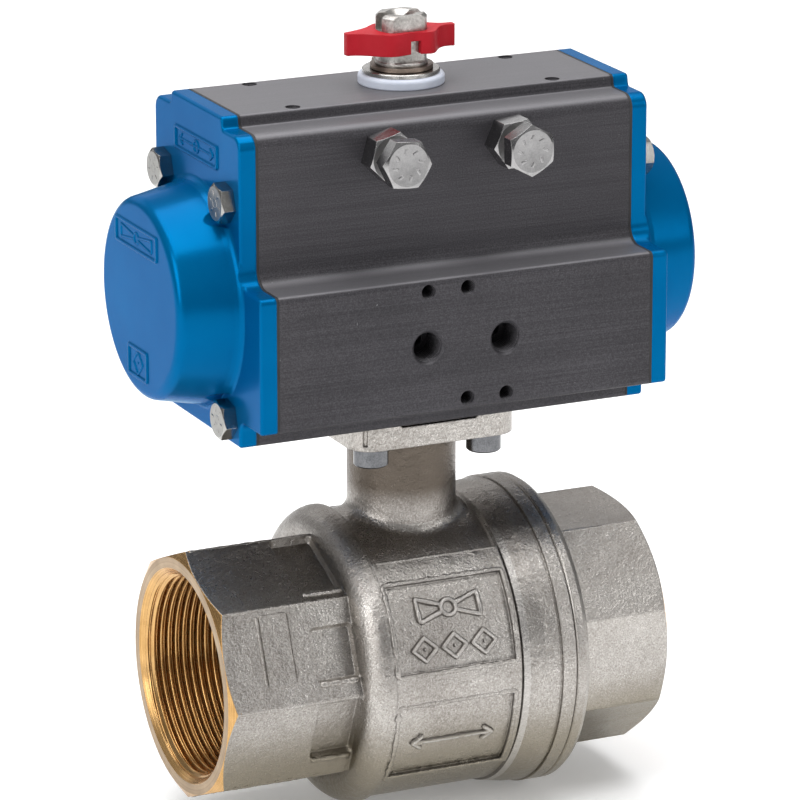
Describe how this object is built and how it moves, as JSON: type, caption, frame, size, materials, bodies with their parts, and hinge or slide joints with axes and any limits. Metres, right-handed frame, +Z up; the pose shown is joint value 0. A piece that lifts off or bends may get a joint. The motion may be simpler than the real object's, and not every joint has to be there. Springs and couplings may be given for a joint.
{
  "type": "pneumatic actuated ball valve",
  "caption": "Threaded two-piece ball valve turned by a double-acting rack-and-pinion pneumatic actuator with adjustable stops and a position indicator.",
  "frame": {"origin": "centre of the ball, where the flow axis meets the stem axis", "axes": "+X along the flow and the actuator's long axis, towards the screwed-in end connector; +Z up the stem to the position indicator; -Y the side with the air ports and stop bolts"},
  "size_m": [0.1616, 0.0908, 0.2322],
  "materials": {
    "anodised_body": "brushed hard anodised",
    "blue_cap": "gloss epoxy coat",
    "black_rubber": "matt",
    "zinc_steel": "bright stainless",
    "black_steel": "stainless, machined",
    "cast_aluminium": "die cast",
    "acetal": "moulded",
    "pinion_steel": "nickel plated",
    "white_ring": "moulded acetal",
    "stainless_washer": "polished",
    "spring_steel": "phosphated",
    "red_indicator": "moulded",
    "nickel_brass": "shot blasted, nickel plated",
    "plain_brass": "machined",
    "chrome_ball": "polished",
    "ptfe": "satin"
  },
  "bodies": {
    "housing": {"actuator_body": "anodised_body", "end_cap_left": "blue_cap", "end_cap_right": "blue_cap", "gasket_left": "black_rubber", "gasket_right": "black_rubber", "cap_bolts_left": "zinc_steel", "cap_bolts_right": "zinc_steel", "pinion_bush_top": "acetal", "pinion_bush_bottom": "acetal", "thrust_ring": "white_ring", "stop_nut_left": "zinc_steel", "stop_nut_right": "zinc_steel", "valve_body": "nickel_brass", "end_connector": "nickel_brass", "ball_seat_left": "ptfe", "ball_seat_right": "ptfe", "body_joint_seal": "ptfe", "gland_nut": "plain_brass", "gland_packing": "ptfe", "stem_thrust_washer": "ptfe", "pad_screws": "black_steel"},
    "pinion": {"pinion": "pinion_steel", "stop_cam": "pinion_steel", "pinion_oring_top": "black_rubber", "pinion_oring_bottom": "black_rubber", "thrust_washer": "stainless_washer", "circlip": "spring_steel", "position_indicator": "red_indicator", "drive_adaptor": "zinc_steel"},
    "piston_left": {"piston_left": "cast_aluminium", "piston_oring_left": "black_rubber", "guide_band_left": "acetal", "rack_pad_left": "acetal"},
    "piston_right": {"piston_right": "cast_aluminium", "piston_oring_right": "black_rubber", "guide_band_right": "acetal", "rack_pad_right": "acetal"},
    "stem": {"valve_stem": "plain_brass", "stem_orings": "black_rubber"},
    "ball": {"ball": "chrome_ball"},
    "stop_bolt_left": {"stop_bolt_left": "zinc_steel"},
    "stop_bolt_right": {"stop_bolt_right": "zinc_steel"}
  },
  "joints": [
    {"name": "pinion_turn", "type": "hinge", "parent": "housing", "child": "pinion", "pos_m": [0, 0, 0.113], "axis": [0, 0, 1], "range_deg": [-90, 0]},
    {"name": "stem_turn", "type": "hinge", "parent": "housing", "child": "stem", "pos_m": [0, 0, 0.05], "axis": [0, 0, 1], "range_deg": [-90, 0]},
    {"name": "ball_turn", "type": "hinge", "parent": "housing", "child": "ball", "pos_m": [0, 0, 0], "axis": [0, 0, 1], "range_deg": [-90, 0]},
    {"name": "piston_left_slide", "type": "slide", "parent": "housing", "child": "piston_left", "axis": [1, 0, 0], "range_m": [0, 0.01571]},
    {"name": "piston_right_slide", "type": "slide", "parent": "housing", "child": "piston_right", "axis": [-1, 0, 0], "range_m": [0, 0.01571]},
    {"name": "stop_bolt_left_adjust", "type": "slide", "parent": "housing", "child": "stop_bolt_left", "axis": [0, -1, 0], "range_m": [0, 0.003]},
    {"name": "stop_bolt_right_adjust", "type": "slide", "parent": "housing", "child": "stop_bolt_right", "axis": [0, -1, 0], "range_m": [0, 0.003]}
  ],
  "couplings": [
    {"joint": "stem_turn", "follows": "pinion_turn", "ratio": 1},
    {"joint": "ball_turn", "follows": "pinion_turn", "ratio": 1},
    {"joint": "piston_left_slide", "follows": "pinion_turn", "m_per_rad": -0.01},
    {"joint": "piston_right_slide", "follows": "pinion_turn", "m_per_rad": -0.01}
  ]
}
